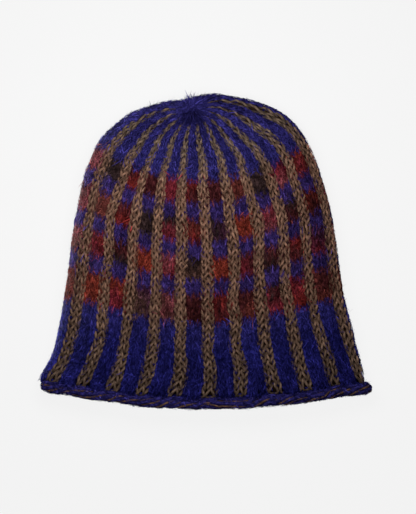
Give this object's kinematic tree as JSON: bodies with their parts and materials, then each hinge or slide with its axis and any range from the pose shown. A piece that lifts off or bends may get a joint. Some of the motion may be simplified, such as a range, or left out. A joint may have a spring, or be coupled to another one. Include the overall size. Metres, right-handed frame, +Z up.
{
  "type": "knitted beanie",
  "caption": "Striped stranded-knit beanie lying flat: tapering hollow bag with an open rim, corded edge and gathered crown closed by a small knot.",
  "frame": {"origin": "on the surface the beanie lies on, below the middle of its box", "axes": "+X to the right across the front, +Y from the rim to the crown, +Z up from the surface through the front layer"},
  "size_m": [0.2448, 0.2305, 0.0321],
  "materials": {
    "blue_mohair": "soft brushed mohair, indigo blue",
    "camel_wool": "smooth two-ply wool, camel brown",
    "variegated_mohair": "soft brushed mohair, dyed from crimson through maroon to black-brown",
    "edge_cord": "indigo mohair cord with slanting camel strands",
    "knot_mohair": "dense indigo mohair"
  },
  "bodies": {
    "root": {"knitted_shell": "blue_mohair", "corded_edge": "edge_cord", "crown_knot": "knot_mohair"}
  },
  "joints": []
}
